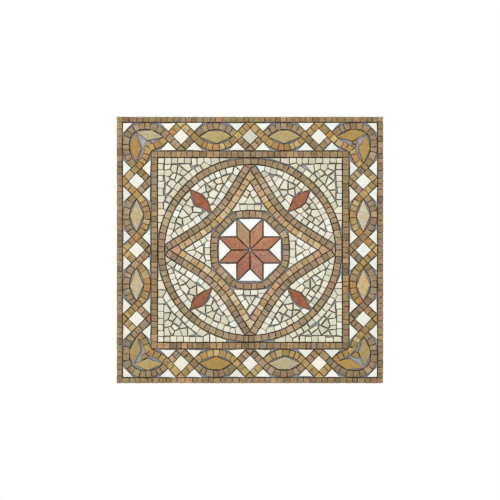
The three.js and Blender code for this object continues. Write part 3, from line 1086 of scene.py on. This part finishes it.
class Shader:
    """A node material. Each call adds a node and gives back its output."""

    def __init__(self, name):
        self.material = bpy.data.materials.new(name)
        self.material.use_nodes = True
        self.tree = self.material.node_tree
        self.tree.nodes.clear()

    def feed(self, socket, value):
        if isinstance(value, bpy.types.NodeSocket):
            self.tree.links.new(value, socket)
        else:
            socket.default_value = value

    def node(self, kind, inputs, output=0, **settings):
        new = self.tree.nodes.new("ShaderNode" + kind)
        for key, value in settings.items():
            setattr(new, key, value)
        for key, value in inputs.items():
            self.feed(new.inputs[key], value)
        return new.outputs[output] if new.outputs else None

    def millimetres(self):
        here = self.node("TexCoord", {}, "Object")
        return self.scaled(here, 1 / MM)

    def place(self):
        """The place in millimetres, moved and turned for each stone by its tint."""
        inputs = {0: self.tint(), 1: (TINT_SHIFT,) * 3, 2: self.millimetres()}
        moved = self.node("VectorMath", inputs, operation="MULTIPLY_ADD")
        red = self.node("SeparateXYZ", {0: self.tint()}, 0)
        angle = self.math("MULTIPLY", red, TINT_TURN)
        return self.node("VectorRotate", {"Vector": moved, "Angle": angle}, rotation_type="Y_AXIS")

    def tint(self):
        return self.node("Attribute", {}, "Color", attribute_name="tint")

    def edge(self):
        return self.node("Attribute", {}, "Fac", attribute_name="edge")

    def math(self, operation, a, b=0.0):
        return self.node("Math", {0: a, 1: b}, operation=operation)

    def noise(self, place, scale, detail=3.0, roughness=0.55, distortion=0.0):
        inputs = {"Vector": place, "Scale": scale, "Detail": detail, "Roughness": roughness,
                  "Distortion": distortion}
        return self.node("TexNoise", inputs)

    def ranged(self, value, low, high, to_low, to_high):
        inputs = {0: value, 1: low, 2: high, 3: to_low, 4: to_high}
        return self.node("MapRange", inputs)

    def stretched(self, place, x, y, z):
        return self.node("VectorMath", {0: place, 1: (x, y, z)}, operation="MULTIPLY")

    def scaled(self, vector, factor):
        return self.node("VectorMath", {0: vector, "Scale": factor}, operation="SCALE")

    def lightened(self, colour, value, *ranges):
        return self.scaled(colour, self.ranged(value, *ranges))

    def mix(self, factor, a, b, blend="MIX"):
        return self.node("Mix", {0: factor, 6: a, 7: b}, 2, data_type="RGBA", blend_type=blend)

    def finish(self, colour, roughness, height, distance):
        normal = self.node("Bump", {"Height": height, "Distance": distance, "Strength": 0.8})
        inputs = {"Base Color": colour, "Roughness": roughness, "Normal": normal, "Specular IOR Level": 0.35}
        shader = self.node("BsdfPrincipled", inputs)
        self.node("OutputMaterial", {"Surface": shader})
        return self.material


def stone_material(name, mottle, band, pit, vein, vein_colour, roughness, relief, shift, counter,
                   edge_dark, joint_shade=(0.2, 0.16, 0.1, 1)):
    """Stone with clouds, bands, veins and pits.

    mottle and band are how far clouds and bands change the lightness, pit is the
    share of it that is pitted, vein how strong the veins are, shift and counter
    the colours that its patches lean to, edge_dark how dark its edges and sides
    are made and joint the dark tint painted over the dusty adhesive at its
    foot and over its low sides, as shade of the deep joint."""
    s = Shader(name)
    place = s.place()
    clouds = s.noise(place, 0.15, 4.0, 0.74)
    grain = s.noise(place, 1.1, 2.0, 0.6)
    bands = s.noise(s.stretched(place, 0.07, 0.07, 0.55), 1.0, 3.0, 0.6, 0.6)
    colour = s.lightened(s.tint(), clouds, 0.3, 0.7, 1 - mottle, 1 + mottle)
    colour = s.lightened(colour, bands, 0.32, 0.68, 1 - band, 1 + band)
    colour = s.lightened(colour, grain, 0.3, 0.7, 0.9, 1.09)
    patches = s.noise(place, 0.085, 3.0, 0.55, 1.2)
    colour = s.mix(s.ranged(patches, 0.5, 0.66, 0.0, 0.9), colour, shift, "MULTIPLY")
    colour = s.mix(s.ranged(patches, 0.34, 0.5, 0.9, 0.0), colour, counter, "MULTIPLY")
    line = s.math("ABSOLUTE", s.math("SUBTRACT", s.noise(place, 0.07, 4.0, 0.6, 0.8), 0.5))
    colour = s.mix(s.ranged(line, 0.0, 0.022, vein, 0.0), colour, vein_colour)
    holes = s.node("TexVoronoi", {"Vector": place, "Scale": 0.42}, "Distance")
    patch = s.ranged(s.noise(place, 0.2, 2.0), 0.46, 0.56, 0.0, 1.0)
    pits = s.math("MULTIPLY", s.ranged(holes, 0.16, 0.3, 1.0, 0.0), s.math("MULTIPLY", patch, pit))
    colour = s.lightened(colour, pits, 0.0, 1.0, 1.0, 0.5)
    # Colour darker towards a stone's edges and down its sides, broken up by the grain.
    edge_darkening = s.math("MULTIPLY", s.edge(), s.ranged(grain, 0.3, 0.7, 0.6, 1.0))
    colour = s.lightened(colour, edge_darkening, 0.15, 1.0, 1.0, edge_dark)
    # Painted shade: a stone's foot and low sides, deep in the joint, are multiplied by the dark joint tint.
    colour = s.mix(s.ranged(s.edge(), 1.0, 2.0, 0.0, 1.0), colour, joint_shade, "MULTIPLY")
    rough = s.ranged(clouds, 0.3, 0.7, roughness - 0.06, roughness + 0.08)
    rough = s.math("ADD", rough, s.math("MULTIPLY", pits, 0.2))
    height = s.math("SUBTRACT", s.math("MULTIPLY", grain, 0.5), pits)
    return s.finish(colour, rough, height, relief * MM)


def net_material():
    """Blue-grey glass thread, fine strands along it, with adhesive dried on it."""
    s = Shader("glass fibre net")
    place = s.millimetres()
    strands = s.noise(s.stretched(place, 4.0, 4.0, 0.4), 1.0, 2.0)
    dried = s.noise(place, 0.15, 4.0)
    colour = s.mix(s.ranged(strands, 0.3, 0.7, 0.0, 1.0), (0.30, 0.34, 0.40, 1), (0.62, 0.66, 0.70, 1))
    colour = s.mix(s.ranged(dried, 0.5, 0.62, 0.0, 0.6), colour, (0.66, 0.64, 0.58, 1))
    return s.finish(colour, s.ranged(dried, 0.3, 0.7, 0.35, 0.6), strands, 0.12 * MM)


def adhesive_material():
    """Grey adhesive, cloudy, with stone dust and small bubbles."""
    s = Shader("adhesive")
    place = s.millimetres()
    clouds = s.noise(place, 0.06, 5.0)
    dust = s.noise(place, 0.9, 3.0)
    bubbles = s.node("TexVoronoi", {"Vector": place, "Scale": 0.8}, "Distance")
    colour = s.mix(s.ranged(clouds, 0.35, 0.65, 0.0, 1.0), (0.34, 0.35, 0.41, 1), (0.50, 0.50, 0.54, 1))
    colour = s.mix(s.ranged(dust, 0.52, 0.7, 0.0, 0.5), colour, (0.5, 0.47, 0.42, 1))
    colour = s.lightened(colour, bubbles, 0.1, 0.25, 0.7, 1.0)
    waves = s.scaled(place, 2 * math.pi / NET_PITCH)
    across, up = [s.math("COSINE", s.node("SeparateXYZ", {0: waves}, axis)) for axis in (0, 2)]
    threads = s.ranged(s.math("MAXIMUM", across, up), 0.5, 1.0, 0.0, 1.0)
    colour = s.lightened(colour, threads, 0.0, 1.0, 0.88, 1.2)
    height = s.math("ADD", dust, s.ranged(bubbles, 0.1, 0.3, -0.5, 0.0))
    height = s.math("ADD", height, threads)
    return s.finish(colour, s.ranged(clouds, 0.3, 0.7, 0.35, 0.6), height, 0.2 * MM)


def travertine():
    return stone_material(
        "travertine", mottle=0.3, band=0.16, pit=0.9, vein=0.22, vein_colour=(0.52, 0.42, 0.28, 1),
        roughness=0.55, relief=0.35, shift=(1.06, 1.05, 1.08, 1), counter=(1.04, 0.96, 0.86, 1),
        edge_dark=0.6)


def cream_marble():
    return stone_material(
        "cream marble", mottle=0.05, band=0.03, pit=0.2, vein=0.22, vein_colour=(0.50, 0.48, 0.42, 1),
        roughness=0.5, relief=0.22, shift=(1.0, 0.97, 0.9, 1), counter=(0.97, 1.0, 0.99, 1),
        edge_dark=0.84, joint_shade=(0.38, 0.35, 0.26, 1))


def white_marble():
    return stone_material(
        "white marble", mottle=0.03, band=0.02, pit=0.05, vein=0.16, vein_colour=(0.60, 0.61, 0.60, 1),
        roughness=0.42, relief=0.15, shift=(0.99, 0.97, 0.94, 1), counter=(0.97, 0.99, 1.0, 1),
        edge_dark=0.82, joint_shade=(0.2, 0.17, 0.13, 1))


def honey_marble():
    return stone_material(
        "honey marble", mottle=0.2, band=0.14, pit=0.1, vein=0.4, vein_colour=(0.55, 0.33, 0.12, 1),
        roughness=0.4, relief=0.16, shift=(1.14, 0.88, 0.52, 1), counter=(1.0, 1.04, 1.12, 1),
        edge_dark=0.62)


def red_marble():
    return stone_material(
        "red marble", mottle=0.28, band=0.12, pit=0.2, vein=0.3, vein_colour=(0.50, 0.30, 0.20, 1),
        roughness=0.42, relief=0.18, shift=(1.12, 1.3, 1.05, 1), counter=(0.98, 0.76, 0.84, 1),
        edge_dark=0.5, joint_shade=(0.27, 0.22, 0.2, 1))


def make_materials():
    brown = travertine()
    return {
        "brown_travertine": brown,
        "ochre_travertine": brown,
        "cream_marble": cream_marble(),
        "white_marble": white_marble(),
        "honey_marble": honey_marble(),
        "red_marble": red_marble(),
        "net": net_material(),
        "adhesive": adhesive_material(),
    }


# Floor, light and camera

def floor_material():
    s = Shader("pale floor")
    cloud = s.noise(s.node("TexCoord", {}, "Object"), 2.0)
    colour = s.mix(cloud, (0.80, 0.80, 0.79, 1), (0.84, 0.84, 0.83, 1))
    return s.finish(colour, 0.8, cloud, 0.5 * MM)


def stage():
    corners = [(x * FLOOR_HALF, y * FLOOR_HALF, FLOOR_LEVEL) for x, y in ((-1, -1), (1, -1), (1, 1), (-1, 1))]
    mesh = new_mesh("floor", corners, [(0, 1, 2, 3)])
    mesh.materials.append(floor_material())
    floor = new_object("floor", mesh)
    floor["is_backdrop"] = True


def soft_light():
    world = bpy.data.worlds.new("soft white")
    world.use_nodes = True
    background = world.node_tree.nodes["Background"]
    background.inputs["Color"].default_value = (1, 1, 1, 1)
    bpy.context.scene.world = world
    lamp = bpy.data.lights.new("key", "AREA")
    lamp.shape = "SQUARE"
    lamp.size = KEY_LIGHT_SIZE
    lamp.energy = KEY_LIGHT_WATTS
    key = new_object("key", lamp)
    key.location = KEY_LIGHT_PLACE
    key.rotation_euler = Vector(key.location).to_track_quat("Z", "Y").to_euler()


def camera():
    data = bpy.data.cameras.new("camera")
    data.lens = CAMERA_LENS
    eye = new_object("camera", data)
    eye.location = (0, -CAMERA_DISTANCE, 0)
    eye.rotation_euler = (math.pi / 2, 0, 0)
    bpy.context.scene.camera = eye
    bpy.context.scene.view_settings.view_transform = "Standard"


camera()
soft_light()
stage()
materials = make_materials()

frame_row("outer_frame", PANEL_HALF, OUTER_FRAME_WIDTH, 11, MIDDLING_FILLET)
frame_row("inner_frame", INNER_FRAME_HALF, INNER_FRAME_WIDTH, 12, WIDE_FILLET)
circle_band()
ring_band()
star_stones("star_outer_band", 0.0, "dun", "brown_travertine", 15)
star_stones("star_inner_band", STAR_BAND_WIDTH + JOINT, "straw", "ochre_travertine", 16)
strand_piece("ochre", 1, "ochre_travertine", 17)
strand_piece("brown", -1, "brown_travertine", 18)
border_wedges()
white_squares()
almonds()
middle_star()
field_lozenges()
cream_stones()
glass_fibre_net()
adhesive_bed()

sizes = {"cad": cad_box, "visual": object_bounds()}
{name: [list(corner) for corner in box] for name, box in sizes.items()}
